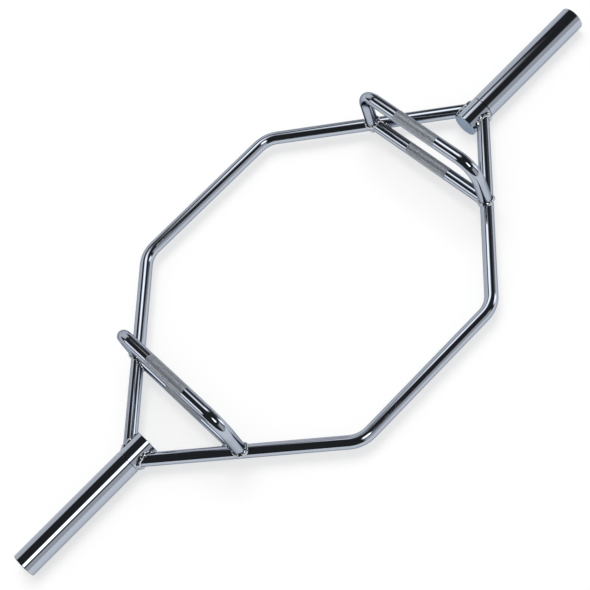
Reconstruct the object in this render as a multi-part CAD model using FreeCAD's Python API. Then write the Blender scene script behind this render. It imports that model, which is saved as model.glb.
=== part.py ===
import FreeCAD, Part
import math
import os

from FreeCAD import Vector

# Hex trap bar with flush and raised handles and two turning sleeves for plates.
# Millimetres. +X runs along the sleeves to the right, +Y to the rear and +Z up.
# The origin is on the floor under the middle of the bar, and the sleeves rest on Z = 0.

# Frame: two bent rails of solid round bar make the hexagon
BAR_DIAMETER = 25.4
FRAME_HALF_WIDTH = 311.0
SIDE_RAIL_HALF_LENGTH = 169.0
RAIL_ANGLE = 45.0
RAIL_BEND_RADIUS = 55.0

# Handles: a straight bar level with the rails, and a bent bar that stands above it
GRIP_DIAMETER = 25.0
FLUSH_HANDLE_HALF_SPAN = 152.5
RAISED_HANDLE_INSET = 2.0
RAISED_HANDLE_RISE = 111.0
RAISED_LEG_LEAN = 7.5
RAISED_BEND_RADIUS = 42.0
KNURL_LENGTH = 105.0
KNURL_DEPTH = 0.3

# Hubs, which carry the rails and the spindles, and the weld beads
HUB_END_MARGIN = 0.3
HUB_CHAMFER = 0.8
WELD_LEG = 2.8
WELD_FLUSH_SHARE = 0.85
WELD_RAISED_SHARE = 0.93
WELD_WRAP_SHARE = 0.9
WELD_ROUND_SHARE = 0.3

# Sleeves
SLEEVE_DIAMETER = 50.0
SLEEVE_LENGTH = 263.5
SLEEVE_RUNNING_GAP = 0.5
SLEEVE_INNER_CHAMFER = 0.6
SLEEVE_END_ROUND = 1.5
SLEEVE_END_WALL = 4.0

# Bushings, pressed into the two ends of a sleeve
BUSHING_LENGTH = 30.0
BUSHING_WALL = 4.95
BUSHING_CLEARANCE = 0.05
BUSHING_STAND_OUT = 0.2
BUSHING_SHOULDER = 2.0
BUSHING_CHAMFER = 0.5

# Spindles, fixed in the hubs
SPINDLE_SOCKET_DEPTH = 38.0
SPINDLE_SETBACK = 20.0
SPINDLE_CHAMFER = 1.5
SPINDLE_LAND = 3.0

# Washer and outside retaining ring that hold a sleeve on its spindle
WASHER_THICKNESS = 2.0
WASHER_CLEARANCE = 0.1
WASHER_EDGE_GAP = 1.0
WASHER_END_GAP = 0.3
SPINDLE_CLIP_THICKNESS = 1.5
SPINDLE_CLIP_GROOVE_DEPTH = 0.7
SPINDLE_CLIP_WIDE = 3.5
SPINDLE_CLIP_NARROW = 2.0
SPINDLE_CLIP_LUG_RADIUS = 2.2
SPINDLE_CLIP_LUG_REACH = 2.6
SPINDLE_CLIP_HOLE_RADIUS = 1.0
SPINDLE_CLIP_LUG_ANGLE = 14.0
SPINDLE_CLIP_GAP_ANGLE = 8.0

# Plate, label and inside retaining ring that close the end of a sleeve
END_LEDGE = 1.0
END_PLATE_THICKNESS = 3.0
END_PLATE_CLEARANCE = 0.1
END_LABEL_THICKNESS = 0.3
END_LABEL_MARGIN = 0.4
END_RECESS = 2.0
END_CLIP_THICKNESS = 1.75
END_CLIP_GROOVE_DEPTH = 1.25
END_CLIP_WIDE = 5.0
END_CLIP_NARROW = 3.0
END_CLIP_LUG_RADIUS = 2.5
END_CLIP_LUG_REACH = 3.9
END_CLIP_HOLE_RADIUS = 1.5
END_CLIP_LUG_ANGLE = 32.0
END_CLIP_GAP_ANGLE = 26.0
CLIP_GROOVE_PLAY = 0.05
CLIP_GAP_DIRECTION = 201.0

# How far a cutting tool runs past the face that it cuts
OVERRUN = 5.0

# Sizes that follow from the ones above
BAR_RADIUS = BAR_DIAMETER / 2
GRIP_RADIUS = GRIP_DIAMETER / 2
SLEEVE_RADIUS = SLEEVE_DIAMETER / 2
AXIS_Z = SLEEVE_RADIUS
RAIL_SINE = math.sin(math.radians(RAIL_ANGLE))
RAIL_COSINE = math.cos(math.radians(RAIL_ANGLE))
RAIL_SLOPE = RAIL_SINE / RAIL_COSINE
APEX_X = SIDE_RAIL_HALF_LENGTH + FRAME_HALF_WIDTH / RAIL_SLOPE
HUB_MIDDLE_X = APEX_X - SLEEVE_RADIUS / RAIL_SLOPE
RAIL_FOOT_REACH = (BAR_RADIUS + WELD_LEG) / RAIL_SINE + WELD_LEG / RAIL_SLOPE
HUB_INNER_X = HUB_MIDDLE_X - RAIL_FOOT_REACH - HUB_END_MARGIN
HUB_OUTER_X = HUB_MIDDLE_X + RAIL_FOOT_REACH + HUB_END_MARGIN
FLUSH_HANDLE_X = APEX_X - FLUSH_HANDLE_HALF_SPAN / RAIL_SLOPE
RAISED_HANDLE_X = FLUSH_HANDLE_X - RAISED_HANDLE_INSET
RAISED_HANDLE_Z = AXIS_Z + RAISED_HANDLE_RISE

SLEEVE_INNER_X = HUB_OUTER_X + SLEEVE_RUNNING_GAP
SLEEVE_OUTER_X = SLEEVE_INNER_X + SLEEVE_LENGTH
END_BORE_RADIUS = SLEEVE_RADIUS - SLEEVE_END_WALL
BUSHING_RADIUS = END_BORE_RADIUS - END_LEDGE
BUSHING_BORE_RADIUS = BUSHING_RADIUS - BUSHING_WALL
SPINDLE_RADIUS = BUSHING_BORE_RADIUS - BUSHING_CLEARANCE
SLEEVE_CORE_RADIUS = BUSHING_RADIUS - BUSHING_SHOULDER
INNER_BUSHING_X = SLEEVE_INNER_X - BUSHING_STAND_OUT

SPINDLE_END_X = SLEEVE_OUTER_X - SPINDLE_SETBACK
SPINDLE_GROOVE_RADIUS = SPINDLE_RADIUS - SPINDLE_CLIP_GROOVE_DEPTH
SPINDLE_CLIP_X = SPINDLE_END_X - SPINDLE_CHAMFER - SPINDLE_LAND - SPINDLE_CLIP_THICKNESS
WASHER_X = SPINDLE_CLIP_X - WASHER_THICKNESS
OUTER_BUSHING_X = WASHER_X - WASHER_END_GAP - BUSHING_LENGTH

END_CLIP_X = SLEEVE_OUTER_X - END_RECESS - END_CLIP_THICKNESS
END_LABEL_X = END_CLIP_X - END_LABEL_THICKNESS
END_PLATE_X = END_LABEL_X - END_PLATE_THICKNESS
END_GROOVE_RADIUS = END_BORE_RADIUS + END_CLIP_GROOVE_DEPTH


def on_axis(x):
    """Point on the sleeves' axis."""
    return Vector(x, 0, AXIS_Z)


def round_bar(start, end, radius):
    """Straight round bar between two points."""
    return Part.makeCylinder(radius, (end - start).Length, start, end - start)


def bent_path(corners, bend_radius):
    """Straight runs joined at every inner corner by a tangent arc."""
    edges = []
    start = corners[0]
    for before, corner, after in zip(corners, corners[1:], corners[2:]):
        to_before = (before - corner).normalize()
        to_after = (after - corner).normalize()
        half_angle = to_before.getAngle(to_after) / 2
        setback = bend_radius / math.tan(half_angle)
        bulge = bend_radius / math.sin(half_angle) - bend_radius
        enter = corner + to_before * setback
        leave = corner + to_after * setback
        middle = corner + (to_before + to_after).normalize() * bulge
        edges.append(Part.LineSegment(start, enter).toShape())
        edges.append(Part.Arc(enter, middle, leave).toShape())
        start = leave
    edges.append(Part.LineSegment(start, corners[-1]).toShape())
    return Part.Wire(edges)


def bent_bar(corners, bend_radius, radius):
    """Round bar bent along a path."""
    section = Part.Wire(Part.makeCircle(radius, corners[0], corners[1] - corners[0]))
    return bent_path(corners, bend_radius).makePipe(Part.Face(section))


def turned(profile):
    """Turns a closed outline of (x, radius) points about the sleeves' axis."""
    points = [Vector(x, 0, AXIS_Z + radius) for x, radius in profile]
    outline = Part.makePolygon(points + points[:1])
    return Part.Face(outline).revolve(on_axis(0), Vector(1, 0, 0), 360)


def ring(start_x, length, inner_radius, outer_radius):
    """Plain ring about the sleeves' axis."""
    return turned([
        (start_x, inner_radius),
        (start_x + length, inner_radius),
        (start_x + length, outer_radius),
        (start_x, outer_radius),
    ])


def groove_knurl_band(bar, middle):
    """Takes the band of the grip down to the root of the knurl."""
    reach = Vector(0, KNURL_LENGTH / 2, 0)
    outside = round_bar(middle - reach, middle + reach, GRIP_RADIUS + OVERRUN)
    root = round_bar(middle - reach, middle + reach, GRIP_RADIUS - KNURL_DEPTH)
    return bar.cut(outside.cut(root))


def half_turned(shape):
    """The same piece on the other side, half a turn about the vertical."""
    piece = shape.copy()
    piece.rotate(Vector(0, 0, 0), Vector(0, 0, 1), 180)
    return piece


def retaining_ring(x, thickness, fit_radius, in_bore, wide, narrow,
                   lug_reach, lug_radius, hole_radius, lug_angle, gap_angle):
    """Spring ring with two lugs, for a groove in a bore or in a shaft.

    It fits the groove on one circle. The other circle is moved along the gap, so that
    the ring is widest opposite its gap. It is built about X and then turned and raised.
    """
    outward = -1 if in_bore else 1
    along = Vector(1, 0, 0)
    centre = Vector(x, 0, 0)
    free_radius = fit_radius + outward * (wide + narrow) / 2
    free_centre = centre - Vector(0, outward * (wide - narrow) / 2, 0)
    fit_disc = Part.makeCylinder(fit_radius, thickness, centre, along)
    free_disc = Part.makeCylinder(free_radius, thickness, free_centre, along)
    body = fit_disc.cut(free_disc) if in_bore else free_disc.cut(fit_disc)
    lug_centre_radius = fit_radius + outward * lug_reach
    for side in (1, -1):
        angle = math.radians(lug_angle * side)
        lug_centre = centre + Vector(0, math.cos(angle), math.sin(angle)) * lug_centre_radius
        lug = Part.makeCylinder(lug_radius, thickness, lug_centre, along)
        lug = lug.common(fit_disc) if in_bore else lug.cut(fit_disc)
        hole = Part.makeCylinder(hole_radius, thickness, lug_centre, along)
        body = body.fuse(lug).cut(hole)
    gap_length = fit_radius + free_radius
    gap_rise = gap_length * math.tan(math.radians(gap_angle))
    upper = centre + Vector(0, gap_length, gap_rise)
    lower = centre + Vector(0, gap_length, -gap_rise)
    gap = Part.Face(Part.makePolygon([centre, upper, lower, centre])).extrude(along * thickness)
    body = body.cut(gap).removeSplitter()
    body.rotate(centre, along, CLIP_GAP_DIRECTION)
    body.translate(on_axis(0))
    return body


def rail_blank():
    """Front rail before its ends are shaped to the hubs."""
    corners = [
        Vector(-APEX_X, 0, AXIS_Z),
        Vector(-SIDE_RAIL_HALF_LENGTH, -FRAME_HALF_WIDTH, AXIS_Z),
        Vector(SIDE_RAIL_HALF_LENGTH, -FRAME_HALF_WIDTH, AXIS_Z),
        Vector(APEX_X, 0, AXIS_Z),
    ]
    return bent_bar(corners, RAIL_BEND_RADIUS, BAR_RADIUS)


def hub_blank(radius):
    """Solid cylinder over the right hub's length."""
    return round_bar(on_axis(HUB_INNER_X), on_axis(HUB_OUTER_X), radius)


def rail():
    """Front rail, its ends shaped to sit on the two hubs."""
    clearance_core = round_bar(on_axis(-SLEEVE_OUTER_X), on_axis(SLEEVE_OUTER_X), SLEEVE_RADIUS)
    return rail_blank().cut(clearance_core)


def hub():
    """Right hub: a short round with a blind socket for the spindle."""
    return turned([
        (HUB_INNER_X, 0),
        (HUB_INNER_X, SLEEVE_RADIUS - HUB_CHAMFER),
        (HUB_INNER_X + HUB_CHAMFER, SLEEVE_RADIUS),
        (HUB_OUTER_X - HUB_CHAMFER, SLEEVE_RADIUS),
        (HUB_OUTER_X, SLEEVE_RADIUS - HUB_CHAMFER),
        (HUB_OUTER_X, SPINDLE_RADIUS),
        (HUB_OUTER_X - SPINDLE_SOCKET_DEPTH, SPINDLE_RADIUS),
        (HUB_OUTER_X - SPINDLE_SOCKET_DEPTH, 0),
    ])


def rail_point(x, side):
    """Point on the axis of the right sloping part of the rear (1) or front (-1) rail."""
    return Vector(x, (APEX_X - x) * RAIL_SLOPE * side, AXIS_Z)


def rail_direction(side):
    """Along that sloping part, towards the hub."""
    return Vector(RAIL_COSINE, -RAIL_SINE * side, 0)


def flush_handle(rails):
    """Right straight handle, its ends shaped to the rails."""
    bar = round_bar(rail_point(FLUSH_HANDLE_X, -1), rail_point(FLUSH_HANDLE_X, 1), GRIP_RADIUS)
    for piece in rails:
        bar = bar.cut(piece)
    return groove_knurl_band(bar, on_axis(FLUSH_HANDLE_X))


def raised_corner(side):
    """Corner of the raised handle's path, before it is rounded."""
    foot_y = rail_point(RAISED_HANDLE_X, side).y
    return Vector(RAISED_HANDLE_X, foot_y - RAISED_LEG_LEAN * side, RAISED_HANDLE_Z)


def raised_handle(rails, flush):
    """Right raised handle, its feet shaped to the rails and to the flush handle."""
    front_foot = rail_point(RAISED_HANDLE_X, -1)
    rear_foot = rail_point(RAISED_HANDLE_X, 1)
    corners = [front_foot, raised_corner(-1), raised_corner(1), rear_foot]
    bar = bent_bar(corners, RAISED_BEND_RADIUS, GRIP_RADIUS)
    for piece in rails + [flush]:
        bar = bar.cut(piece)
    return groove_knurl_band(bar, Vector(RAISED_HANDLE_X, 0, RAISED_HANDLE_Z))


def rounded_bead(bead, bars):
    """Rounds the outer edges of a bead, those that lie clear of the bars it joins."""
    outer = []
    for edge in bead.Edges:
        middle = edge.valueAt((edge.FirstParameter + edge.LastParameter) / 2)
        clear = min(Part.Vertex(middle).distToShape(bar)[0] for bar in bars)
        if clear > WELD_LEG / 2:
            outer.append(edge)
    return bead.makeFillet(WELD_LEG * WELD_ROUND_SHARE, outer)


def hub_welds(rails):
    """Beads round the two rail ends on the right hub."""
    beads = []
    core = hub_blank(SLEEVE_RADIUS)
    for side, rail_piece in zip((-1, 1), rails):
        far_end = on_axis(APEX_X) - rail_direction(side) * APEX_X
        thick_rail = round_bar(on_axis(APEX_X), far_end, BAR_RADIUS + WELD_LEG)
        bead = thick_rail.common(hub_blank(SLEEVE_RADIUS + WELD_LEG))
        bead = bead.cut(core).cut(rail_piece).Solids[0]
        beads.append(rounded_bead(bead, [core, rail_piece]))
    return Part.makeCompound(beads)


def slab(middle, normal, half_thickness, radius):
    """Flat round slab about a point."""
    return Part.makeCylinder(radius, half_thickness * 2, middle - normal * half_thickness, normal)


def handle_welds(rails, flush, raised):
    """Beads where the right handles meet each rail and each other.

    Each bead ends a little short of the place where two bars run level. Solids smaller
    than a cube of the bead's leg are scrap that the thick bars leave.
    """
    beads = []
    wrap = GRIP_RADIUS * WELD_WRAP_SHARE
    reach = FLUSH_HANDLE_HALF_SPAN / 2
    upright = Vector(0, 0, 1)
    for side, rail_piece in zip((-1, 1), rails):
        flush_foot = rail_point(FLUSH_HANDLE_X, side)
        raised_foot = rail_point(RAISED_HANDLE_X, side)
        along_rail = rail_direction(side)
        across_rail = along_rail.cross(upright)
        inward = Vector(0, -side, 0)
        up_leg = (raised_corner(side) - raised_foot).normalize()
        thick_rail = round_bar(raised_foot - along_rail * reach, raised_foot + along_rail * reach,
                               BAR_RADIUS + WELD_LEG)
        thick_flush = round_bar(flush_foot, flush_foot + inward * reach,
                                GRIP_RADIUS + WELD_LEG * WELD_FLUSH_SHARE)
        thick_leg = round_bar(raised_foot, raised_foot + up_leg * reach,
                              GRIP_RADIUS + WELD_LEG * WELD_RAISED_SHARE)
        level = slab(flush_foot, upright, wrap, reach)
        crosswise = slab(raised_foot, across_rail, wrap, reach)
        lengthwise = slab(raised_foot, Vector(1, 0, 0), wrap, reach)
        bead = thick_flush.common(thick_rail).common(level)
        bead = bead.fuse(thick_leg.common(thick_rail).common(crosswise))
        bead = bead.fuse(thick_leg.common(thick_flush).common(lengthwise))
        for bar in (rail_piece, flush, raised):
            bead = bead.cut(bar)
        beads += [solid for solid in bead.removeSplitter().Solids if solid.Volume > WELD_LEG ** 3]
    return Part.makeCompound(beads)


def spindle():
    """Right spindle: a round bar in the hub's socket, grooved for its retaining ring."""
    groove_end_x = SPINDLE_CLIP_X + SPINDLE_CLIP_THICKNESS + CLIP_GROOVE_PLAY
    return turned([
        (HUB_OUTER_X - SPINDLE_SOCKET_DEPTH, 0),
        (HUB_OUTER_X - SPINDLE_SOCKET_DEPTH, SPINDLE_RADIUS),
        (SPINDLE_CLIP_X, SPINDLE_RADIUS),
        (SPINDLE_CLIP_X, SPINDLE_GROOVE_RADIUS),
        (groove_end_x, SPINDLE_GROOVE_RADIUS),
        (groove_end_x, SPINDLE_RADIUS),
        (SPINDLE_END_X - SPINDLE_CHAMFER, SPINDLE_RADIUS),
        (SPINDLE_END_X, SPINDLE_RADIUS - SPINDLE_CHAMFER),
        (SPINDLE_END_X, 0),
    ])


def sleeve_tube():
    """Right sleeve: a stepped tube with bushing seats, an end ledge and a ring groove."""
    inner_seat_x = INNER_BUSHING_X + BUSHING_LENGTH
    groove_end_x = END_CLIP_X + END_CLIP_THICKNESS + CLIP_GROOVE_PLAY
    tube = turned([
        (SLEEVE_INNER_X, BUSHING_RADIUS),
        (SLEEVE_INNER_X, SLEEVE_RADIUS - SLEEVE_INNER_CHAMFER),
        (SLEEVE_INNER_X + SLEEVE_INNER_CHAMFER, SLEEVE_RADIUS),
        (SLEEVE_OUTER_X, SLEEVE_RADIUS),
        (SLEEVE_OUTER_X, END_BORE_RADIUS),
        (groove_end_x, END_BORE_RADIUS),
        (groove_end_x, END_GROOVE_RADIUS),
        (END_CLIP_X, END_GROOVE_RADIUS),
        (END_CLIP_X, END_BORE_RADIUS),
        (END_PLATE_X, END_BORE_RADIUS),
        (END_PLATE_X, BUSHING_RADIUS),
        (OUTER_BUSHING_X, BUSHING_RADIUS),
        (OUTER_BUSHING_X, SLEEVE_CORE_RADIUS),
        (inner_seat_x, SLEEVE_CORE_RADIUS),
        (inner_seat_x, BUSHING_RADIUS),
    ])
    end_rim = [
        edge for edge in tube.Edges
        if edge.BoundBox.XMin > SLEEVE_OUTER_X - CLIP_GROOVE_PLAY
        and edge.BoundBox.YMax > END_GROOVE_RADIUS
    ]
    return tube.makeFillet(SLEEVE_END_ROUND, end_rim)


def bushing(start_x):
    """Plain bronze bushing with broken bore edges."""
    end_x = start_x + BUSHING_LENGTH
    return turned([
        (start_x, BUSHING_BORE_RADIUS + BUSHING_CHAMFER),
        (start_x + BUSHING_CHAMFER, BUSHING_BORE_RADIUS),
        (end_x - BUSHING_CHAMFER, BUSHING_BORE_RADIUS),
        (end_x, BUSHING_BORE_RADIUS + BUSHING_CHAMFER),
        (end_x, BUSHING_RADIUS),
        (start_x, BUSHING_RADIUS),
    ])


def spindle_washer():
    """Washer between the outer bushing and the spindle's retaining ring."""
    return ring(WASHER_X, WASHER_THICKNESS, SPINDLE_RADIUS + WASHER_CLEARANCE,
                BUSHING_RADIUS - WASHER_EDGE_GAP)


def spindle_clip():
    """Outside retaining ring in the spindle's groove."""
    return retaining_ring(
        SPINDLE_CLIP_X, SPINDLE_CLIP_THICKNESS, SPINDLE_GROOVE_RADIUS + CLIP_GROOVE_PLAY, False,
        SPINDLE_CLIP_WIDE, SPINDLE_CLIP_NARROW, SPINDLE_CLIP_LUG_REACH, SPINDLE_CLIP_LUG_RADIUS,
        SPINDLE_CLIP_HOLE_RADIUS, SPINDLE_CLIP_LUG_ANGLE, SPINDLE_CLIP_GAP_ANGLE)


def disc(start_x, thickness, radius):
    """Plain disc on the sleeves' axis."""
    return round_bar(on_axis(start_x), on_axis(start_x + thickness), radius)


def end_plate():
    """Round plate that closes the end of the sleeve, seated on the ledge in its bore."""
    return disc(END_PLATE_X, END_PLATE_THICKNESS, END_BORE_RADIUS - END_PLATE_CLEARANCE)


def end_label():
    """Thin foil disc on the outside of the end plate."""
    radius = END_BORE_RADIUS - END_PLATE_CLEARANCE - END_LABEL_MARGIN
    return disc(END_LABEL_X, END_LABEL_THICKNESS, radius)


def end_clip():
    """Inside retaining ring in the groove at the end of the sleeve."""
    return retaining_ring(
        END_CLIP_X, END_CLIP_THICKNESS, END_GROOVE_RADIUS - CLIP_GROOVE_PLAY, True,
        END_CLIP_WIDE, END_CLIP_NARROW, END_CLIP_LUG_REACH, END_CLIP_LUG_RADIUS,
        END_CLIP_HOLE_RADIUS, END_CLIP_LUG_ANGLE, END_CLIP_GAP_ANGLE)


def build():
    """All pieces by name. The left ones are the right ones turned half round."""
    front_rail = rail()
    rear_rail = half_turned(front_rail)
    rails = [front_rail, rear_rail]
    flush = flush_handle(rails)
    raised = raised_handle(rails, flush)
    right = {
        "hub": hub(),
        "flush_handle": flush,
        "raised_handle": raised,
        "spindle": spindle(),
        "sleeve_tube": sleeve_tube(),
        "inner_bushing": bushing(INNER_BUSHING_X),
        "outer_bushing": bushing(OUTER_BUSHING_X),
        "spindle_washer": spindle_washer(),
        "spindle_clip": spindle_clip(),
        "end_plate": end_plate(),
        "end_label": end_label(),
        "end_clip": end_clip(),
    }
    right_welds = {
        "hub_welds": hub_welds(rails),
        "handle_welds": handle_welds(rails, flush, raised),
    }
    pieces = {"front_rail": front_rail, "rear_rail": rear_rail}
    for name, shape in right_welds.items():
        pieces[name] = Part.makeCompound([shape, half_turned(shape)])
    for name, shape in right.items():
        pieces["right_" + name] = shape
        pieces["left_" + name] = half_turned(shape)
    return pieces


os.makedirs("parts", exist_ok=True)
for node, piece in build().items():
    piece.exportStep(os.path.join("parts", node + ".step"))
    print(node, len(piece.Solids), "solids", round(piece.Volume), "mm3", piece.isValid())
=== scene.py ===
# %% [markdown]
# # A hex trap bar in chrome
# The bar lies on a pale floor: a hexagon of bent round bar, a turning sleeve at each
# end, and two pairs of knurled handles welded across it. The exact solids come in as a
# fixed frame. This lesson gives them a finish, and models again the pieces whose
# surface tells more than the solid does: bent bar, knurling and weld beads.

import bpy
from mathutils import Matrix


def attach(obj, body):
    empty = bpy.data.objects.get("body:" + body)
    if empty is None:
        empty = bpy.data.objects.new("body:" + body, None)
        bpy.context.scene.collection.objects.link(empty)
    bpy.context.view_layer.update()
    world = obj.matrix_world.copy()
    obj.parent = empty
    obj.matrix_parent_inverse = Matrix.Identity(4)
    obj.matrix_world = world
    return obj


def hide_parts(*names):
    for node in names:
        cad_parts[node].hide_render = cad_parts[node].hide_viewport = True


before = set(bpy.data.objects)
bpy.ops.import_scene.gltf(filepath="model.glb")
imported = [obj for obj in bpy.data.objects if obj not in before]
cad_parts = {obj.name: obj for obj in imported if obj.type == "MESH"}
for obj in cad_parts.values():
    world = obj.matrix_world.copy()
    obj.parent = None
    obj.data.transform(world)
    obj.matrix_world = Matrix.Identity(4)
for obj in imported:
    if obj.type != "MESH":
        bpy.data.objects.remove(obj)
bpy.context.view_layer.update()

# %% [markdown]
# ## The camera
# The picture looks down on the bar from the front left, from about two and a half
# metres. A long lens keeps the far sleeve nearly as thick as the near one. The camera's
# matrix is written as its own right, up and back directions, so nothing has to be aimed.

# %% Camera
import math

import bmesh
import bpy
from mathutils import Matrix, Vector

scene = bpy.context.scene
scene.view_settings.view_transform = "Standard"

look_right = Vector((0.69821, -0.66135, -0.27409))
look_up = Vector((0.69724, 0.54137, 0.46988))
look_back = Vector((-0.16237, -0.51917, 0.83910))
look_from = Vector((-0.4646, -1.3496, 2.2063))

camera_data = bpy.data.cameras.new("studio_camera")
camera_data.sensor_width = 36.0
camera_data.lens = 84.05
camera_data.clip_end = 200.0
camera = bpy.data.objects.new("studio_camera", camera_data)
turn = Matrix((look_right, look_up, look_back)).transposed().to_4x4()
camera.matrix_world = Matrix.Translation(look_from) @ turn
scene.collection.objects.link(camera)
scene.camera = camera
print("camera at", tuple(look_from), "with a lens of", camera_data.lens, "mm")

# %% [markdown]
# ## Helpers for node trees
# Every finish below is a small tree of shader nodes. Short helpers keep the cells readable:
# they add a node and set its sockets, join two sockets, do a sum on values, turn a value
# into a soft step, and mix. A Mix node has its own two inputs and output for each kind of
# value, so the last helper looks up their numbers.

# %% Node helpers
mix_sockets = {"FLOAT": (2, 3, 0), "VECTOR": (4, 5, 1), "RGBA": (6, 7, 2)}


def add_node(tree, kind, settings=None, **values):
    made = tree.nodes.new(kind)
    for key, value in (settings or {}).items():
        setattr(made, key, value)
    for key, value in values.items():
        made.inputs[key.replace("_", " ")].default_value = value
    return made


def join(tree, source, target):
    tree.links.new(source, target)


def calculate(tree, operation, first, second=None, third=None):
    made = tree.nodes.new("ShaderNodeMath")
    made.operation = operation
    for place, value in enumerate((first, second, third)):
        if value is None:
            continue
        if isinstance(value, (int, float)):
            made.inputs[place].default_value = value
        else:
            tree.links.new(value, made.inputs[place])
    return made.outputs[0]


def add_scaled(tree, start, value, gain):
    return calculate(tree, "MULTIPLY_ADD", value, gain, start)


def soft_step(tree, value, low, high, from_one=False):
    made = tree.nodes.new("ShaderNodeMapRange")
    made.interpolation_type = "SMOOTHSTEP"
    made.inputs["From Min"].default_value = low
    made.inputs["From Max"].default_value = high
    made.inputs["To Min"].default_value = 1.0 if from_one else 0.0
    made.inputs["To Max"].default_value = 0.0 if from_one else 1.0
    tree.links.new(value, made.inputs["Value"])
    return made.outputs["Result"]


def mix(tree, kind, share, first, second):
    made = add_node(tree, "ShaderNodeMix", {"data_type": kind})
    first_socket, second_socket, result = mix_sockets[kind]
    join(tree, share, made.inputs[0])
    for place, value in ((first_socket, first), (second_socket, second)):
        if isinstance(value, tuple):
            made.inputs[place].default_value = (*value, 1.0)
        else:
            join(tree, value, made.inputs[place])
    return made.outputs[result]


print("node helpers ready")

# %% [markdown]
# ## The room that the chrome shows
# Chrome has hardly a colour of its own: it shows the room, so the room is built first.
# It has a pale wall behind and in front, dark sides and a dark ceiling. Windows of light
# stand at the left and at the right, and a third is high up in front. Only mirror rays see
# the room. The camera sees plain white, and matt surfaces get an even light, so that
# colours come out as they are written.

# %% Ray directions
world = bpy.data.worlds.new("studio")
scene.world = world
world.use_nodes = True
sky = world.node_tree
sky.nodes.clear()
ray = add_node(sky, "ShaderNodeTexCoord").outputs["Generated"]
ray_xyz = add_node(sky, "ShaderNodeSeparateXYZ")
join(sky, ray, ray_xyz.inputs["Vector"])
ray_height = ray_xyz.outputs["Z"]
ray_azimuth = calculate(sky, "ARCTAN2", ray_xyz.outputs["Y"], ray_xyz.outputs["X"])
print("rays are split into height and azimuth")

# %% Walls and windows
side_edge = 0.1


def wall(middle_degrees, half_degrees, low, high, edge):
    offset = calculate(sky, "SUBTRACT", ray_azimuth, math.radians(middle_degrees))
    offset = calculate(sky, "ABSOLUTE", offset)
    half = math.radians(half_degrees)
    mask = soft_step(sky, offset, half - side_edge, half + side_edge, from_one=True)
    top = soft_step(sky, ray_height, high - edge, high + edge, from_one=True)
    mask = calculate(sky, "MULTIPLY", mask, top)
    return calculate(sky, "MULTIPLY", mask, soft_step(sky, ray_height, low - edge, low + edge))


room_level = 0.028
# Name, middle and half width in degrees, lowest and highest ray height, soft edge, level.
walls = (
    ("rear wall", 85, 27, -1.5, 0.625, 0.05, 0.80),
    ("front wall", -82, 25, -1.5, 0.580, 0.06, 0.56),
    ("right wall", 5, 38, -1.5, 0.480, 0.08, 0.072),
    ("left window", 143, 12, 0.210, 0.540, 0.05, 1.50),
    ("front window", -96, 15, 0.750, 0.930, 0.03, 3.40),
    ("right window", -29, 10.5, -0.100, 0.410, 0.07, 2.00),
)
for label, middle, half, low, high, edge, level in walls:
    mask = wall(middle, half, low, high, edge)
    room_level = add_scaled(sky, room_level, mask, level)
    print(label, "at", middle, "degrees with a level of", level)

# %% World output
even_light = 0.64

light_path = add_node(sky, "ShaderNodeLightPath")
mirror_ray = calculate(sky, "MAXIMUM", light_path.outputs["Is Glossy Ray"],
                       light_path.outputs["Is Transmission Ray"])
camera_ray = light_path.outputs["Is Camera Ray"]
even_level = add_scaled(sky, even_light, camera_ray, 1.0 - even_light)
background = add_node(sky, "ShaderNodeBackground", Color=(1.0, 1.0, 1.0, 1.0))
join(sky, mix(sky, "FLOAT", mirror_ray, even_level, room_level), background.inputs["Strength"])
world_out = add_node(sky, "ShaderNodeOutputWorld")
join(sky, background.outputs[0], world_out.inputs["Surface"])
print("world ready with", len(sky.nodes), "nodes")

# %% [markdown]
# ## A square softbox
# The white lines on the bars come from a wide softbox nearly two metres up, behind the bar
# at the right. It is a card at a real distance, so its line shifts along each bar as it does
# in a studio. Its glow fades from a small core to the rim, and only mirror rays see it.

# %% Softbox card
def softbox(label, place, half_size, strength, core):
    card_mesh = bpy.data.meshes.new(label)
    card = bpy.data.objects.new(label, card_mesh)
    scene.collection.objects.link(card)
    form = bmesh.new()
    bmesh.ops.create_grid(form, x_segments=1, y_segments=1, size=1.0)
    form.to_mesh(card_mesh)
    form.free()
    spread = Matrix.Diagonal((half_size, half_size, 1.0, 1.0))
    card.matrix_world = Matrix.Translation(place) @ spread
    card.visible_camera = False
    card.visible_diffuse = False
    card.visible_shadow = False
    cloth = bpy.data.materials.new(label)
    cloth.use_nodes = True
    tree = cloth.node_tree
    tree.nodes.clear()
    parts = add_node(tree, "ShaderNodeSeparateXYZ")
    join(tree, add_node(tree, "ShaderNodeTexCoord").outputs["Object"], parts.inputs["Vector"])
    level = strength
    for direction in ("X", "Y"):
        reach = calculate(tree, "ABSOLUTE", parts.outputs[direction])
        fade = soft_step(tree, reach, core, 1.0, from_one=True)
        level = calculate(tree, "MULTIPLY", fade, level)
    glow = add_node(tree, "ShaderNodeEmission")
    join(tree, level, glow.inputs["Strength"])
    clear = add_node(tree, "ShaderNodeBsdfTransparent")
    both = add_node(tree, "ShaderNodeAddShader")
    join(tree, glow.outputs[0], both.inputs[0])
    join(tree, clear.outputs[0], both.inputs[1])
    join(tree, both.outputs[0], add_node(tree, "ShaderNodeOutputMaterial").inputs["Surface"])
    card_mesh.materials.append(cloth)
    return card


rear_softbox = softbox("rear_softbox", Vector((0.76, 0.78, 1.85)),
                       half_size=0.78, strength=2.00, core=0.20)
print("softbox card:", rear_softbox.name)

# %% [markdown]
# ## Floor and lamp
# The floor is matt and pale. For the camera and for mirror rays it glows a little, which
# lifts it to white without more light on the bar, and it still keeps the bar's shadow.
# One wide lamp, as even as a bright overcast window, gives that shadow a direction. It is
# hidden from mirror rays, which already see the softbox.

# %% Floor
floor_half = 60.0
glow_share = 0.55

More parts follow.
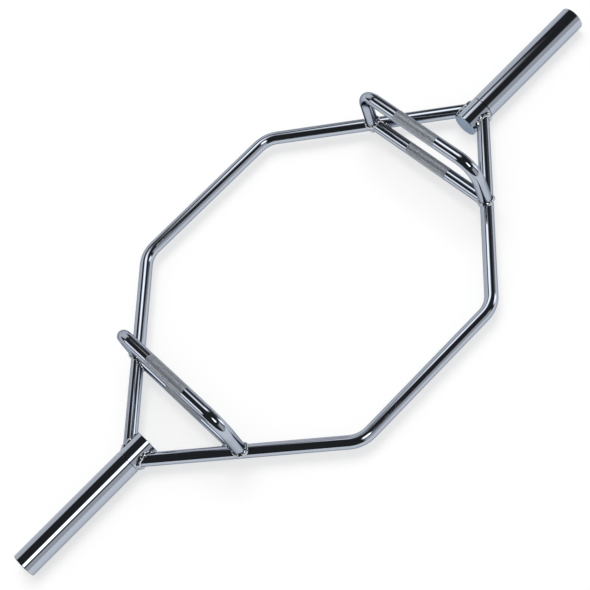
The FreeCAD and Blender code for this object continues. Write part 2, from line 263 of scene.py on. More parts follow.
floor_mesh = bpy.data.meshes.new("floor")
floor = bpy.data.objects.new("floor", floor_mesh)
scene.collection.objects.link(floor)
bm = bmesh.new()
bmesh.ops.create_grid(bm, x_segments=1, y_segments=1, size=floor_half)
bm.to_mesh(floor_mesh)
bm.free()

floor_finish = bpy.data.materials.new("studio_floor")
floor_finish.use_nodes = True
tree = floor_finish.node_tree
tree.nodes.clear()
matt = add_node(tree, "ShaderNodeBsdfDiffuse", Color=(0.92, 0.92, 0.92, 1.0))
glow = add_node(tree, "ShaderNodeEmission", Color=(1.0, 1.0, 1.0, 1.0), Strength=1.08)
path = add_node(tree, "ShaderNodeLightPath")
seen = calculate(tree, "MAXIMUM", path.outputs["Is Camera Ray"], path.outputs["Is Glossy Ray"])
seen = calculate(tree, "MAXIMUM", seen, path.outputs["Is Transmission Ray"])
blend = add_node(tree, "ShaderNodeMixShader")
join(tree, calculate(tree, "MULTIPLY", seen, glow_share), blend.inputs[0])
join(tree, matt.outputs[0], blend.inputs[1])
join(tree, glow.outputs[0], blend.inputs[2])
join(tree, blend.outputs[0], add_node(tree, "ShaderNodeOutputMaterial").inputs["Surface"])
floor_mesh.materials.append(floor_finish)
print("floor of", tuple(floor.dimensions))

# %% Lamp
lamp_data = bpy.data.lights.new("overhead_lamp", "SUN")
lamp_data.energy = 1.35
lamp_data.angle = math.radians(38.0)
lamp = bpy.data.objects.new("overhead_lamp", lamp_data)
lamp_from = Vector((0.55, 0.60, 1.75))
lamp_turn = lamp_from.to_track_quat("Z", "Y").to_matrix().to_4x4()
lamp.matrix_world = Matrix.Translation(lamp_from) @ lamp_turn
lamp.visible_glossy = False
scene.collection.objects.link(lamp)
print("lamp of", lamp_data.energy, "watts on a square metre")

# %% [markdown]
# ## Shared effects
# Three effects come back in several finishes, so each is a group. Handling marks are
# cloudy smudges and hair-fine scratches. Plating ripple is the slow waviness that a bent
# and polished bar has under its chrome: it makes the edges of a reflection wander. A face
# that was turned on a lathe keeps short arcs round the sleeves' axis.

# %% Handling marks group
hair_stretch = (30.0, 1400.0, 1400.0)

marks = bpy.data.node_groups.new("handling_marks", "ShaderNodeTree")
marks.interface.new_socket("Place", in_out="INPUT", socket_type="NodeSocketVector")
marks.interface.new_socket("Smudge Size", in_out="INPUT", socket_type="NodeSocketFloat")
marks.interface.new_socket("Smudges", in_out="OUTPUT", socket_type="NodeSocketFloat")
marks.interface.new_socket("Scratches", in_out="OUTPUT", socket_type="NodeSocketFloat")
marks_in = marks.nodes.new("NodeGroupInput")
marks_out = marks.nodes.new("NodeGroupOutput")
cloud = add_node(marks, "ShaderNodeTexNoise", Detail=5.0, Roughness=0.6)
join(marks, marks_in.outputs["Place"], cloud.inputs["Vector"])
cloud_scale = calculate(marks, "DIVIDE", 1.0, marks_in.outputs["Smudge Size"])
join(marks, cloud_scale, cloud.inputs["Scale"])
join(marks, soft_step(marks, cloud.outputs["Fac"], 0.45, 0.72), marks_out.inputs["Smudges"])
hairs = None
for turned in ((0.3, 0.5, 0.2), (1.1, 0.2, 2.3), (0.7, 1.4, 4.0)):
    slant = add_node(marks, "ShaderNodeMapping", Rotation=turned, Scale=hair_stretch)
    join(marks, marks_in.outputs["Place"], slant.inputs["Vector"])
    hair = add_node(marks, "ShaderNodeTexNoise", Scale=1.0, Detail=1.0)
    join(marks, slant.outputs[0], hair.inputs["Vector"])
    line = soft_step(marks, hair.outputs["Fac"], 0.70, 0.78)
    hairs = line if hairs is None else calculate(marks, "MAXIMUM", hairs, line)
join(marks, hairs, marks_out.inputs["Scratches"])
print("handling marks group with", len(marks.nodes), "nodes")

# %% Plating ripple group
ripple = bpy.data.node_groups.new("plating_ripple", "ShaderNodeTree")
ripple.interface.new_socket("Place", in_out="INPUT", socket_type="NodeSocketVector")
ripple.interface.new_socket("Wave Length", in_out="INPUT", socket_type="NodeSocketFloat")
ripple.interface.new_socket("Height", in_out="OUTPUT", socket_type="NodeSocketFloat")
ripple_in = ripple.nodes.new("NodeGroupInput")
ripple_out = ripple.nodes.new("NodeGroupOutput")
waves = add_node(ripple, "ShaderNodeTexNoise", Detail=3.0, Roughness=0.5)
join(ripple, ripple_in.outputs["Place"], waves.inputs["Vector"])
wave_scale = calculate(ripple, "DIVIDE", 1.0, ripple_in.outputs["Wave Length"])
join(ripple, wave_scale, waves.inputs["Scale"])
join(ripple, waves.outputs["Fac"], ripple_out.inputs["Height"])
print("plating ripple group with", len(ripple.nodes), "nodes")

# %% Turned face group
axis_height = 0.025
grooves_per_metre = 450.0

turned_face = bpy.data.node_groups.new("turned_face", "ShaderNodeTree")
turned_face.interface.new_socket("Place", in_out="INPUT", socket_type="NodeSocketVector")
turned_face.interface.new_socket("Arcs", in_out="OUTPUT", socket_type="NodeSocketFloat")
turned_face.interface.new_socket("Reach", in_out="OUTPUT", socket_type="NodeSocketFloat")
face_in = turned_face.nodes.new("NodeGroupInput")
face_out = turned_face.nodes.new("NodeGroupOutput")
from_axis = add_node(turned_face, "ShaderNodeMapping", Location=(0.0, 0.0, -axis_height),
                     Scale=(0.0, 1.0, 1.0))
join(turned_face, face_in.outputs["Place"], from_axis.inputs["Vector"])
reach = add_node(turned_face, "ShaderNodeVectorMath", {"operation": "LENGTH"})
join(turned_face, from_axis.outputs[0], reach.inputs[0])
spoke = add_node(turned_face, "ShaderNodeVectorMath", {"operation": "NORMALIZE"})
join(turned_face, from_axis.outputs[0], spoke.inputs[0])
tool_path = add_node(turned_face, "ShaderNodeCombineXYZ")
grooves = calculate(turned_face, "MULTIPLY", reach.outputs["Value"], grooves_per_metre)
join(turned_face, grooves, tool_path.inputs["X"])
along = add_node(turned_face, "ShaderNodeVectorMath", {"operation": "ADD"})
join(turned_face, tool_path.outputs[0], along.inputs[0])
join(turned_face, spoke.outputs[0], along.inputs[1])
arcs = add_node(turned_face, "ShaderNodeTexNoise", Scale=4.0, Detail=3.0)
join(turned_face, along.outputs[0], arcs.inputs["Vector"])
join(turned_face, soft_step(turned_face, arcs.outputs["Fac"], 0.42, 0.66), face_out.inputs["Arcs"])
join(turned_face, reach.outputs["Value"], face_out.inputs["Reach"])
print("turned face group with", len(turned_face.nodes), "nodes")

# %% [markdown]
# ## Finishes
# A finish starts as a metal with one Principled shader. The helper below makes that, and
# hands back the tree, so that each finish can add what is its own. The shader's specular
# tint is set dark, which darkens the edges of a round bar so that they do not fade into the
# pale floor behind them: a painted shade along the rims. The wide sleeves and hubs get a
# lighter tint, so less of it.

# %% Metal starter
# Dark specular tints: a painted shade along the edges of round bars, less on the wide pieces.
bar_rim_shade = (0.30, 0.32, 0.36, 1.0)
wide_rim_shade = (0.60, 0.62, 0.66, 1.0)


def metal(name, colour, roughness, edge=bar_rim_shade):
    finish = bpy.data.materials.new(name)
    finish.use_nodes = True
    shader = finish.node_tree.nodes["Principled BSDF"]
    shader.inputs["Base Color"].default_value = (*colour, 1.0)
    shader.inputs["Metallic"].default_value = 1.0
    # The edge tint paints shade onto the rims.
    shader.inputs["Specular Tint"].default_value = edge
    shader.inputs["Roughness"].default_value = roughness
    place = add_node(finish.node_tree, "ShaderNodeTexCoord").outputs["Object"]
    return finish, finish.node_tree, shader, place


def use_group(tree, group, place, **values):
    made = add_node(tree, "ShaderNodeGroup", {"node_tree": group}, **values)
    join(tree, place, made.inputs["Place"])
    return made


def add_bump(tree, shader, height, depth):
    made = add_node(tree, "ShaderNodeBump", Strength=1.0, Distance=depth)
    join(tree, height, made.inputs["Height"])
    join(tree, made.outputs["Normal"], shader.inputs["Normal"])


print("metal starter ready")

# %% [markdown]
# Bar chrome is a bright mirror with a cool tint. Smudges and scratches only touch its
# roughness, as they do on a bar that has been wiped but not polished. Welds and steel
# pieces start from the same recipe with their own values.

# %% Chrome and steel
chrome_colour = (0.448, 0.492, 0.570)
chrome_smooth = 0.045
hand_smudge = 0.03
smudge_share = 0.4


def chrome(name, colour, smooth, worn, wave, depth):
    finish, tree, shader, place = metal(name, colour, smooth)
    wear = use_group(tree, marks, place, Smudge_Size=hand_smudge)
    level = add_scaled(tree, smooth, wear.outputs["Smudges"], worn * smudge_share)
    level = add_scaled(tree, level, wear.outputs["Scratches"], worn)
    join(tree, level, shader.inputs["Roughness"])
    waviness = use_group(tree, ripple, place, Wave_Length=wave)
    add_bump(tree, shader, waviness.outputs["Height"], depth)
    return finish


bar_chrome = chrome("bar_chrome", chrome_colour,
                    smooth=chrome_smooth, worn=0.10, wave=0.03, depth=0.00012)
weld_chrome = chrome("weld_chrome", (0.52, 0.55, 0.59),
                     smooth=0.06, worn=0.10, wave=0.006, depth=0.0001)
steel = chrome("spindle_steel", (0.42, 0.42, 0.43),
               smooth=0.28, worn=0.15, wave=0.01, depth=0.00004)
plated = chrome("plated_steel", (0.55, 0.55, 0.54),
                smooth=0.30, worn=0.12, wave=0.006, depth=0.00004)
print("chrome and steel finishes ready")

# %% [markdown]
# The knurl is the same chrome, but its points are polished and rounded by hands, and a grey
# film lies on it in patches. Its grooves are painted a darker tone, a painted shade in the
# recesses, and its points a lighter one, a painted highlight. The knurled mesh carries two
# attributes: one that is one on a point and zero in a groove, and the way straight out of
# the bar. The finish reads both, and turns the worn points outwards, so that they catch the
# bar's own white lines.

# %% Knurl chrome
# Grooves painted darker as a painted shade, points painted lighter as a painted highlight.
groove_shade_colour = (0.37, 0.40, 0.45)
point_highlight_colour = (0.62, 0.665, 0.73)
film_colour = (0.27, 0.285, 0.31)
film_cover = 0.4
film_dullness = 0.14
groove_dullness = 0.33
point_polish = 0.12
groove_metal = 0.75
point_metal = 0.20
outward_lean = 0.88

knurl_chrome, tree, shader, place = metal("knurl_chrome", chrome_colour, groove_dullness)
point_mark = add_node(tree, "ShaderNodeAttribute", {"attribute_name": "knurl_point"})
point_share = point_mark.outputs["Fac"]
film = use_group(tree, marks, place, Smudge_Size=0.006)
dull = add_scaled(tree, groove_dullness, film.outputs["Smudges"], film_dullness)
join(tree, add_scaled(tree, dull, point_share, -point_polish), shader.inputs["Roughness"])
# Painted shade in the grooves and painted highlight on the points, by the point attribute.
knurl_light_and_shade = mix(tree, "RGBA", point_share, groove_shade_colour, point_highlight_colour)
film_share = calculate(tree, "MULTIPLY", film.outputs["Smudges"], film_cover)
join(tree, mix(tree, "RGBA", film_share, knurl_light_and_shade, film_colour), shader.inputs["Base Color"])
metal_share = add_scaled(tree, groove_metal, point_share, point_metal)
join(tree, metal_share, shader.inputs["Metallic"])
straight_out = add_node(tree, "ShaderNodeAttribute", {"attribute_name": "knurl_out"})
turned_out = add_node(tree, "ShaderNodeVectorTransform",
                      {"vector_type": "NORMAL", "convert_from": "OBJECT", "convert_to": "WORLD"})
join(tree, straight_out.outputs["Vector"], turned_out.inputs["Vector"])
facing = add_node(tree, "ShaderNodeNewGeometry").outputs["Normal"]
worn_share = soft_step(tree, point_share, 0.10, 0.55)
worn_share = calculate(tree, "MULTIPLY", worn_share, outward_lean)
rounded = add_node(tree, "ShaderNodeVectorMath", {"operation": "NORMALIZE"})
leaning = mix(tree, "VECTOR", worn_share, facing, turned_out.outputs[0])
join(tree, leaning, rounded.inputs[0])
join(tree, rounded.outputs[0], shader.inputs["Normal"])
print("knurl chrome ready")

# %% [markdown]
# A hub is chrome round its outside, but its end was sawn and turned before it was plated,
# so it is a duller mirror with fine arcs. Its end face is also given a darker, bluer tone.
# The place along the bar tells the two apart.

# %% Hub chrome
hub_end = 0.43
face_near = hub_end + 0.0002
face_far = hub_end + 0.0006
hub_face_colour = (0.318, 0.404, 0.508)
hub_face_smooth = 0.12
plating_depth = 0.00006

hub_chrome, tree, shader, place = metal("hub_chrome", chrome_colour, chrome_smooth, wide_rim_shade)
parts = add_node(tree, "ShaderNodeSeparateXYZ")
join(tree, place, parts.inputs["Vector"])
from_middle = calculate(tree, "ABSOLUTE", parts.outputs["X"])
face_share = soft_step(tree, from_middle, face_near, face_far, from_one=True)
turning = use_group(tree, turned_face, place)
wear = use_group(tree, marks, place, Smudge_Size=hand_smudge)
side_level = add_scaled(tree, chrome_smooth, wear.outputs["Smudges"], 0.04)
face_level = add_scaled(tree, hub_face_smooth, turning.outputs["Arcs"], 0.10)
join(tree, mix(tree, "FLOAT", face_share, side_level, face_level), shader.inputs["Roughness"])
hub_tone = mix(tree, "RGBA", face_share, chrome_colour, hub_face_colour)
join(tree, hub_tone, shader.inputs["Base Color"])
waviness = use_group(tree, ripple, place, Wave_Length=0.05)
tool_relief = calculate(tree, "MULTIPLY", turning.outputs["Arcs"], face_share)
relief = add_scaled(tree, waviness.outputs["Height"], tool_relief, 0.10)
add_bump(tree, shader, relief, plating_depth)
print("hub chrome ready")

# %% [markdown]
# A sleeve is chrome along its length, with faint rings left by the polishing wheel. Its
# end has been rolled and knocked on floors: there the mirror is clouded and scratched
# along the tool's arcs, and the rounded rim is rubbed duller. The rim is also painted a
# darker grey, a painted shade where the rounded rim turns away from the light.

# %% Sleeve chrome
sleeve_end = 0.74402
end_near = sleeve_end - 0.0016
end_far = sleeve_end - 0.0010
rim_start = 0.0236
rim_edge = 0.0002
clean_end = (0.50, 0.55, 0.62)
clouded_end = (0.84, 0.85, 0.86)
# Darker grey on the outer rim of the end: a painted shade.
shaded_rim_colour = (0.42, 0.42, 0.40)
end_smooth = 0.13
rings_per_metre = 420.0

sleeve_chrome, tree, shader, place = metal("sleeve_chrome", chrome_colour, chrome_smooth,
                                           wide_rim_shade)
parts = add_node(tree, "ShaderNodeSeparateXYZ")
join(tree, place, parts.inputs["Vector"])
from_middle = calculate(tree, "ABSOLUTE", parts.outputs["X"])
end_share = soft_step(tree, from_middle, end_near, end_far)
turning = use_group(tree, turned_face, place)
rim_share = soft_step(tree, turning.outputs["Reach"], rim_start - rim_edge, rim_start + rim_edge)
rim_share = calculate(tree, "MULTIPLY", end_share, rim_share)
wear = use_group(tree, marks, place, Smudge_Size=hand_smudge)
cloud = use_group(tree, marks, place, Smudge_Size=0.0045)
side_level = add_scaled(tree, chrome_smooth, wear.outputs["Smudges"], 0.05)
side_level = add_scaled(tree, side_level, wear.outputs["Scratches"], 0.07)
end_level = add_scaled(tree, end_smooth, cloud.outputs["Smudges"], 0.16)
end_level = add_scaled(tree, end_level, turning.outputs["Arcs"], 0.08)
end_level = add_scaled(tree, end_level, rim_share, 0.08)
join(tree, mix(tree, "FLOAT", end_share, side_level, end_level), shader.inputs["Roughness"])
end_tone = mix(tree, "RGBA", cloud.outputs["Smudges"], clean_end, clouded_end)
# Painted shade on the outer rim.
end_tone = mix(tree, "RGBA", rim_share, end_tone, shaded_rim_colour)
join(tree, mix(tree, "RGBA", end_share, chrome_colour, end_tone), shader.inputs["Base Color"])
ring_marks = add_node(tree, "ShaderNodeTexNoise", {"noise_dimensions": "1D"},
                      Scale=rings_per_metre, Detail=3.0)
join(tree, from_middle, ring_marks.inputs["W"])
waviness = use_group(tree, ripple, place, Wave_Length=0.06)
relief = add_scaled(tree, waviness.outputs["Height"], ring_marks.outputs["Fac"], 0.03)
knocks = add_scaled(tree, cloud.outputs["Smudges"], turning.outputs["Arcs"], 0.12)
knocks = add_scaled(tree, knocks, wear.outputs["Scratches"], -0.25)
knocks = calculate(tree, "MULTIPLY", knocks, end_share)
add_bump(tree, shader, add_scaled(tree, relief, knocks, 0.5), plating_depth)
print("sleeve chrome ready")

# %% [markdown]
# The small pieces of a sleeve: a retaining ring of black spring steel with a satin skin
# that is rubbed bright in places, bushings of porous bronze, and a round label of
# brushed foil. The label is left plain, with one black band and no words.

# %% Black spring steel and bronze
skin_colour = (0.034, 0.031, 0.029)
rubbed_colour = (0.19, 0.175, 0.165)
skin_roughness = 0.42
rubbed_share = 0.35
bronze_colour = (0.56, 0.37, 0.17)
bronze_roughness = 0.32
pore_colour = (0.16, 0.10, 0.05)

black_steel, tree, shader, place = metal("black_spring_steel", skin_colour, skin_roughness)
wear = use_group(tree, marks, place, Smudge_Size=0.004)
rubbed = calculate(tree, "MULTIPLY", wear.outputs["Smudges"], rubbed_share)
steel_tone = mix(tree, "RGBA", rubbed, skin_colour, rubbed_colour)
join(tree, steel_tone, shader.inputs["Base Color"])
steel_level = add_scaled(tree, skin_roughness, wear.outputs["Smudges"], -0.12)
join(tree, steel_level, shader.inputs["Roughness"])

bronze, tree, shader, place = metal("bushing_bronze", bronze_colour, bronze_roughness)
pores = add_node(tree, "ShaderNodeTexVoronoi", Scale=1800.0)
join(tree, place, pores.inputs["Vector"])
open_pore = soft_step(tree, pores.outputs["Distance"], 0.05, 0.25, from_one=True)
bronze_tone = mix(tree, "RGBA", open_pore, bronze_colour, pore_colour)
join(tree, bronze_tone, shader.inputs["Base Color"])
join(tree, add_scaled(tree, bronze_roughness, open_pore, 0.3), shader.inputs["Roughness"])
print("black steel and bronze ready")

# %% Label foil
band_low = 0.0219
band_high = 0.0298
band_edge = 0.0001
band_colour = (0.006, 0.006, 0.006)
foil_stops = ((0.3, (0.74, 0.745, 0.75, 1.0)), (0.7, (0.90, 0.905, 0.91, 1.0)))
foil_metal = 0.45

foil, tree, shader, place = metal("label_foil", (0.75, 0.75, 0.76), 0.3)
parts = add_node(tree, "ShaderNodeSeparateXYZ")
join(tree, place, parts.inputs["Vector"])
stroke = add_node(tree, "ShaderNodeMapping", Scale=(1.0, 2600.0, 45.0))
join(tree, place, stroke.inputs["Vector"])
brushing = add_node(tree, "ShaderNodeTexNoise", Scale=1.0, Detail=4.0)
join(tree, stroke.outputs[0], brushing.inputs["Vector"])
above = soft_step(tree, parts.outputs["Z"], band_low - band_edge, band_low + band_edge)
below = soft_step(tree, parts.outputs["Z"], band_high - band_edge, band_high + band_edge,
                  from_one=True)
band = calculate(tree, "MULTIPLY", above, below)
foil_tone = add_node(tree, "ShaderNodeValToRGB")
join(tree, brushing.outputs["Fac"], foil_tone.inputs[0])
for number, (position, colour) in enumerate(foil_stops):
    foil_tone.color_ramp.elements[number].position = position
    foil_tone.color_ramp.elements[number].color = colour
label_tone = mix(tree, "RGBA", band, foil_tone.outputs[0], band_colour)
join(tree, label_tone, shader.inputs["Base Color"])
join(tree, add_scaled(tree, foil_metal, band, -foil_metal), shader.inputs["Metallic"])
brushed_level = add_scaled(tree, 0.2, brushing.outputs["Fac"], 0.3)
join(tree, brushed_level, shader.inputs["Roughness"])
shader.inputs["Specular IOR Level"].default_value = 0.2
print("label foil ready")

# %% [markdown]
# ## Dress the solids
# Every solid came in with the name of its finish on it. Solids that stay as they are, such
# as sleeves, hubs and the pieces inside a sleeve, only swap that for the finish made here.

# %% Dress the solids
finishes = {
    "bar_chrome": bar_chrome, "sleeve_chrome": sleeve_chrome, "weld_chrome": weld_chrome,
    "spindle_steel": steel, "plated_steel": plated, "black_spring_steel": black_steel,
    "bushing_bronze": bronze, "label_foil": foil,
}
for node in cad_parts.values():
    finish_name = node.material_slots[0].material.name.split(".")[0]
    node.material_slots[0].material = finishes[finish_name]
for name in ("left_hub", "right_hub"):
    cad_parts[name].material_slots[0].material = hub_chrome
print("dressed", len(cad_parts), "solids")

# %% [markdown]
# ## Bent bar
# Rails and handles are round bar, bent cold round a former. The solids have the same shape
# but few sides, and a mirror shows every flat. A bar is easily built as it is bent: a
# circle is extruded along each straight run and spun round the middle of each bend. A
# ring close to either end of a run keeps the reflection straight up to the bend.

# %% Bar operators
def start_ring(form, place, heading, radius, count):
    turn = heading.to_track_quat("Z", "Y").to_matrix().to_4x4()
    made = bmesh.ops.create_circle(form, segments=count, radius=radius,
                                   matrix=Matrix.Translation(place) @ turn)
    return list({edge for point in made["verts"] for edge in point.link_edges})


def run_on(form, ring, step):
    made = bmesh.ops.extrude_edge_only(form, edges=ring)["geom"]
    points = {item for item in made if isinstance(item, bmesh.types.BMVert)}
    bmesh.ops.translate(form, verts=list(points), vec=step)
    for item in made:
        if isinstance(item, bmesh.types.BMFace):
            item.material_index = 0
            item.smooth = True
    return [item for item in made
            if isinstance(item, bmesh.types.BMEdge) and points.issuperset(item.verts)]


def bend_on(form, ring, middle, axis, angle, steps):
    made = bmesh.ops.spin(form, geom=ring, cent=middle, axis=axis, angle=angle, steps=steps)
    return [item for item in made["geom_last"] if isinstance(item, bmesh.types.BMEdge)]


print("bar operators ready")

# %% Straight runs and bends
end_ring = 0.0015


def straight(form, ring, heading, length):
    edge = min(end_ring, length / 3)
    for part in (edge, length - 2 * edge, edge):
        ring = run_on(form, ring, heading * part)
    return ring


def bend_at(before, corner, after, bend_radius):
    heading = (corner - before).normalized()
    leaving = (after - corner).normalized()
    angle = heading.angle(leaving)
    axis = heading.cross(leaving).normalized()
    setback = bend_radius * math.tan(angle / 2)
    begin = corner - heading * setback
    middle = begin + axis.cross(heading) * bend_radius
    return {"heading": heading, "leaving": leaving, "angle": angle, "axis": axis,
            "begin": begin, "end": corner + leaving * setback, "middle": middle}


def close_form(form):
    rims = [edge for edge in form.edges if len(edge.link_faces) == 1]
    for edge in rims:
        edge.smooth = False
    for cap in bmesh.ops.holes_fill(form, edges=rims, sides=0)["faces"]:
        cap.smooth = False
    bmesh.ops.recalc_face_normals(form, faces=form.faces[:])


print("runs and bends ready")

# %% Make a piece from a form
def make_piece(name, form, finish_list, slot_name, body, *nodes):
    mesh = bpy.data.meshes.new(name)
    form.to_mesh(mesh)
    form.free()
    for finish in finish_list:
        mesh.materials.append(finish)
    piece = bpy.data.objects.new(name, mesh)
    scene.collection.objects.link(piece)
    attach(piece, body)
    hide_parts(*nodes)
    print(name, "with", len(mesh.polygons), "faces")
    return piece


# %% [markdown]
# ## Rails
# A rail starts inside one hub, runs out at 45 degrees, bends into the long side, and comes
# back to the other hub. Its ends stop inside the hubs, where nobody sees them.

# %% Rails
apex_reach = 0.480
side_reach = 0.311
side_half = 0.169
rail_radius = 0.0127
rail_bend = 0.055
rail_sides = 72
rail_bend_steps = 16
hub_depth = 0.012


def rail_form(side):
    far = apex_reach - hub_depth
    corners = [Vector((x, side * y, axis_height)) for x, y in
               ((-far, hub_depth), (-side_half, side_reach),
                (side_half, side_reach), (far, hub_depth))]
    bends = [bend_at(*corners[k:k + 3], rail_bend) for k in (0, 1)]
    form = bmesh.new()
    ring = start_ring(form, corners[0], bends[0]["heading"], rail_radius, rail_sides)
    here = corners[0]
    for bend in bends:
        ring = straight(form, ring, bend["heading"], (bend["begin"] - here).length)
        ring = bend_on(form, ring, bend["middle"], bend["axis"], bend["angle"], rail_bend_steps)
        here = bend["end"]
    straight(form, ring, bends[-1]["leaving"], (corners[-1] - here).length)
    for face in form.faces:
        face.smooth = True
    close_form(form)
    return form


for side, node in ((-1, "front_rail"), (1, "rear_rail")):
    make_piece(node + "_bar", rail_form(side), [bar_chrome], "bar_chrome", "frame", node)

# %% [markdown]
# ## Handles with a knurled grip
# Knurling is rolled into the bar by two wheels with opposite slants. Their grooves cross
# and leave rows of small pyramids. On a bar with an even number of sides, this is every
# second point of every second ring lifted, with the quads split along their grooves.

# %% Knurl operator
grip_radius = 0.0125
knurl_half = 0.0525
knurl_rings = 100
knurl_sides = 104
groove_radius = 0.01238
point_radius = 0.01262
shoulder = 0.0002


def handle_start():
    form = bmesh.new()
    form.verts.layers.float.new("knurl_point")
    form.verts.layers.float_vector.new("knurl_out")
    return form


def knurl_on(form, ring, here, heading, point_layer, out_layer):
    step = heading * (2 * knurl_half / knurl_rings)
    side_axis = heading.orthogonal().normalized()
    up_axis = heading.cross(side_axis)
    kept = set(form.faces)
    for count in range(knurl_rings + 1):
        move = step if count else heading * shoulder
        ring = run_on(form, ring, move)
        here = here + move
        for point in {point for edge in ring for point in edge.verts}:
            out = (point.co - here).normalized()
            turn = math.atan2(out.dot(up_axis), out.dot(side_axis)) * knurl_sides / math.tau
            raised = (round(turn) + count) % 2 == 0 and 0 < count < knurl_rings
            point[point_layer] = 1.0 if raised else 0.0
            point[out_layer] = out
            point.co = here + out * (point_radius if raised else groove_radius)
    cut = [face for face in form.faces if face not in kept]
    for face in bmesh.ops.triangulate(form, faces=cut, quad_method="SHORT_EDGE")["faces"]:
        face.material_index = 1
        face.smooth = False
    return ring, here


def grip_on(form, ring, here, heading, length):
    point_layer = form.verts.layers.float["knurl_point"]
    out_layer = form.verts.layers.float_vector["knurl_out"]
    plain = length / 2 - knurl_half - 2 * shoulder
    ring = straight(form, ring, heading, plain)
    for edge in ring:
        edge.smooth = False
    ring, here = knurl_on(form, ring, here + heading * plain, heading, point_layer, out_layer)
    ring = run_on(form, ring, heading * shoulder)
    here = here + heading * shoulder
    for point in {point for edge in ring for point in edge.verts}:
        point.co = here + (point.co - here).normalized() * grip_radius
    for edge in ring:
        edge.smooth = False
    return straight(form, ring, heading, plain)


print("knurl of", knurl_sides // 2, "starts and", knurl_rings // 2, "rows")

# %% Flush handles
flush_place = 0.3275
flush_half = 0.1525


def flush_form(side):
    form = handle_start()
    start = Vector((side * flush_place, -flush_half, axis_height))
    heading = Vector((0.0, 1.0, 0.0))
    ring = start_ring(form, start, heading, grip_radius, knurl_sides)
    grip_on(form, ring, start, heading, 2 * flush_half)
    for face in form.faces:
        face.smooth = face.material_index == 0
    close_form(form)
    return form


for side, name in ((-1, "left"), (1, "right")):
    make_piece(name + "_flush_grip", flush_form(side), [bar_chrome, knurl_chrome], "bar_chrome",
               "frame", name + "_flush_handle")

# %% Raised handles
raised_place = 0.3255
foot_reach = 0.1545
corner_reach = 0.147
raised_height = 0.136
raised_bend = 0.042
raised_bend_steps = 24


def raised_form(side):
    corners = [Vector((side * raised_place, y, z)) for y, z in
               ((-foot_reach, axis_height), (-corner_reach, raised_height),
                (corner_reach, raised_height), (foot_reach, axis_height))]
    first, second = [bend_at(*corners[k:k + 3], raised_bend) for k in (0, 1)]
    form = handle_start()
    ring = start_ring(form, corners[0], first["heading"], grip_radius, knurl_sides)
    ring = straight(form, ring, first["heading"], (first["begin"] - corners[0]).length)
    ring = bend_on(form, ring, first["middle"], first["axis"], first["angle"], raised_bend_steps)
    grip = second["begin"] - first["end"]
    ring = grip_on(form, ring, first["end"], grip.normalized(), grip.length)
    ring = bend_on(form, ring, second["middle"], second["axis"], second["angle"], raised_bend_steps)
    straight(form, ring, second["leaving"], (corners[-1] - second["end"]).length)
    for face in form.faces:
        face.smooth = face.material_index == 0
    close_form(form)
    return form


for side, name in ((-1, "left"), (1, "right")):
    make_piece(name + "_raised_grip", raised_form(side), [bar_chrome, knurl_chrome], "bar_chrome",
               "frame", name + "_raised_handle")

# %% [markdown]
# ## Weld beads
# A welder lays a bead as a row of small puddles, each overlapping the last, and lingers
# every centimetre or two, which leaves a lump. The plating keeps all of that. So each bead
# is modelled as it is laid: flattened balls along the line where two bars meet, close ones
# for the ripple and fewer, larger ones for the lumps, fused by a voxel remesh and smoothed.
# The line is found by following the sides of the joining bar to where they first meet the
# other one.

# %% Joint lines
def first_meeting(place, heading, bars):
    best = None
    for base, axis, radius in bars:
        flat_way = heading - axis * heading.dot(axis)
        offset = place - base
        flat_offset = offset - axis * offset.dot(axis)
        a = flat_way.length_squared
        b = flat_way.dot(flat_offset)
        c = flat_offset.length_squared - radius * radius
        under_root = b * b - a * c
        if under_root > 0:
            reach = (-b - math.sqrt(under_root)) / a
            if best is None or reach < best[0]:
                meeting = place + heading * reach
                out = meeting - base
                best = (reach, meeting, (out - axis * out.dot(axis)).normalized())
    return best


def joint_line(base, heading, radius, bars, count=720):
    side_axis = heading.orthogonal().normalized()
    up_axis = heading.cross(side_axis)
    line = []
    for number in range(count):
        turn = math.tau * number / count
        out = side_axis * math.cos(turn) + up_axis * math.sin(turn)
        met = first_meeting(base + out * radius, heading, bars)
        if met:
            line.append((met[1], (out + met[2]).normalized()))
    return line


print("joint lines ready")

# %% Laying a bead
import random

welder = random.Random(11)
pitch_spread = (0.75, 1.25)
lift_spread = (0.06, 0.16)
size_spread = (0.90, 1.10)
look_ahead = 5
ripple_pitch = 0.0024
ripple_size = 0.94
ripple_shape = Matrix.Diagonal((0.60, 0.80, 1.12, 1.0))
lump_pitch = 0.0150
lump_size = 1.20
lump_shape = Matrix.Diagonal((1.45, 0.74, 1.08, 1.0))


def lay_drops(form, line, size, pitch, shape, skip=None):
    gone = wait = pitch
    last = line[-1][0]
    for number, (place, out) in enumerate(line):
        gone += (place - last).length
        last = place
        if gone < wait or (skip and skip(place)):
            continue
        gone = 0.0
        wait = pitch * welder.uniform(*pitch_spread)
        ahead = (line[(number + look_ahead) % len(line)][0] - place).normalized()
        lift = size * welder.uniform(*lift_spread)
        radius = size * welder.uniform(*size_spread)
        lie = Matrix((ahead, out, ahead.cross(out))).transposed().to_4x4()
        bmesh.ops.create_icosphere(form, subdivisions=2, radius=radius,
                                   matrix=Matrix.Translation(place + out * lift) @ lie @ shape)


def lay_bead(form, line, leg, skip=None):
    lay_drops(form, line, leg * ripple_size, ripple_pitch, ripple_shape, skip)
    lay_drops(form, line, leg * lump_size, lump_pitch, lump_shape, skip)


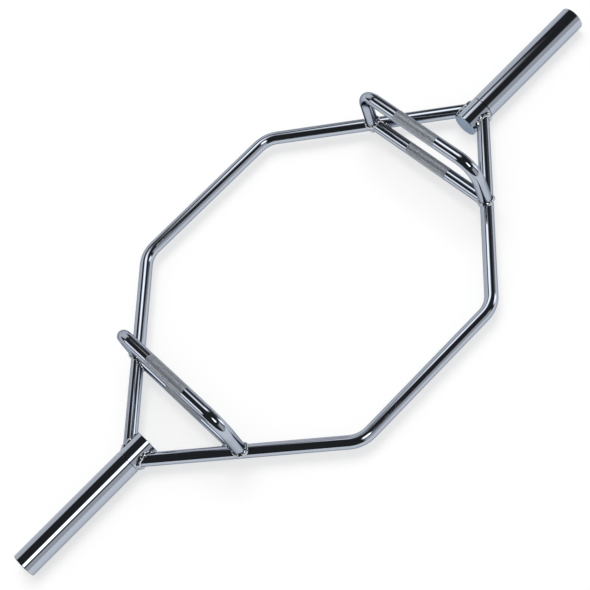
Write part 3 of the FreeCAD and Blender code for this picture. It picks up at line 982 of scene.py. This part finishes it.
def fuse_beads(piece, voxel):
    fuse = piece.modifiers.new("fuse", "REMESH")
    fuse.mode = "VOXEL"
    fuse.voxel_size = voxel
    fuse.use_smooth_shade = True
    settle = piece.modifiers.new("settle", "SMOOTH")
    settle.factor = 0.5
    settle.iterations = 9
    seen_now = piece.evaluated_get(bpy.context.evaluated_depsgraph_get())
    fused = bpy.data.meshes.new_from_object(seen_now)
    piece.modifiers.clear()
    piece.data = fused
    print(piece.name, "fused to", len(fused.polygons), "faces")


print("bead operators ready")

# %% Hub beads
diagonal = math.sqrt(0.5)
hub_radius = 0.025
hub_leg = 0.0047
rail_search = 0.10
bead_voxel = 0.00055
hub_bar = (Vector((0.0, 0.0, axis_height)), Vector((1.0, 0.0, 0.0)), hub_radius)

form = bmesh.new()
for end in (-1, 1):
    for side in (-1, 1):
        heading = Vector((end * diagonal, -side * diagonal, 0.0))
        base = Vector((end * (apex_reach - rail_search), side * rail_search, axis_height))
        joint = joint_line(base, heading, rail_radius, [hub_bar])
        lay_bead(form, joint, hub_leg)
hub_beads = make_piece("hub_beads", form, [weld_chrome], "weld_chrome", "frame", "hub_welds")
fuse_beads(hub_beads, bead_voxel)

# %% Handle beads
flush_leg = 0.0042
raised_leg = 0.0043
flush_search = 0.09
raised_search = 0.06
cover_share = 0.9


def leg_cover(foot, down):
    def covered(place):
        out = place - foot
        return (out - down * out.dot(down)).length < grip_radius * cover_share and out.z > 0
    return covered


form = bmesh.new()
for end in (-1, 1):
    for side in (-1, 1):
        rail_line = (Vector((end * apex_reach, 0.0, axis_height)),
                     Vector((-end * diagonal, side * diagonal, 0.0)), rail_radius)
        foot = Vector((end * raised_place, side * foot_reach, axis_height))
        corner = Vector((end * raised_place, side * corner_reach, raised_height))
        down = (foot - corner).normalized()
        flush_start = Vector((end * flush_place, side * flush_search, axis_height))
        flush_line = (flush_start, Vector((0.0, float(side), 0.0)), grip_radius)
        flush_joint = joint_line(flush_start, flush_line[1], grip_radius, [rail_line])
        lay_bead(form, flush_joint, flush_leg, leg_cover(foot, down))
        raised_start = foot - down * raised_search
        raised_joint = joint_line(raised_start, down, grip_radius, [rail_line, flush_line])
        lay_bead(form, raised_joint, raised_leg)
handle_beads = make_piece("handle_beads", form, [weld_chrome], "weld_chrome",
                          "frame", "handle_welds")
fuse_beads(handle_beads, bead_voxel)
